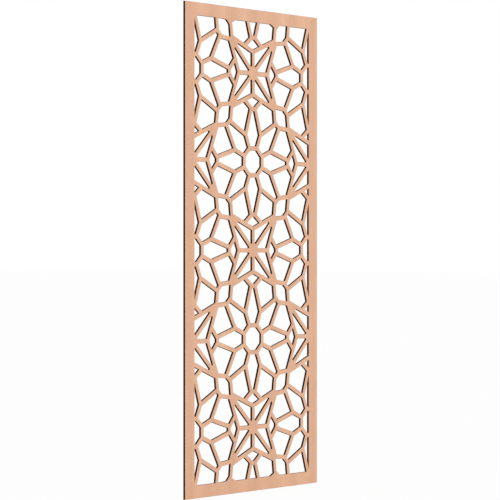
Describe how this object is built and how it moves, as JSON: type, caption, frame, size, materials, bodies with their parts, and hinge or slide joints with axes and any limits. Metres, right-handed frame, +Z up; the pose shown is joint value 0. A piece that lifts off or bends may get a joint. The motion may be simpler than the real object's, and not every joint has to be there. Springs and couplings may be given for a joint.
{
  "type": "fretwork wood panel",
  "caption": "Flat wooden screen panel, cut through into a flush border and a geometric lattice of rosettes and stars, to fit in a frame or against a wall.",
  "frame": {"origin": "middle of the panel's back face, in the middle of the central star", "axes": "+Z up the panel's height, +X across its width, +Y out of its back face, so that the front faces -Y"},
  "size_m": [0.492, 0.0052, 1.189],
  "materials": {
    "face_veneer": "bare sanded veneer with charred cut edges",
    "crossband": "bare ply, charred dark brown where it is cut",
    "core": "bare ply, charred dark brown where it is cut"
  },
  "bodies": {
    "root": {"front_face_veneer": "face_veneer", "front_crossband": "crossband", "core_ply": "core", "rear_crossband": "crossband", "back_face_veneer": "face_veneer"}
  },
  "joints": []
}
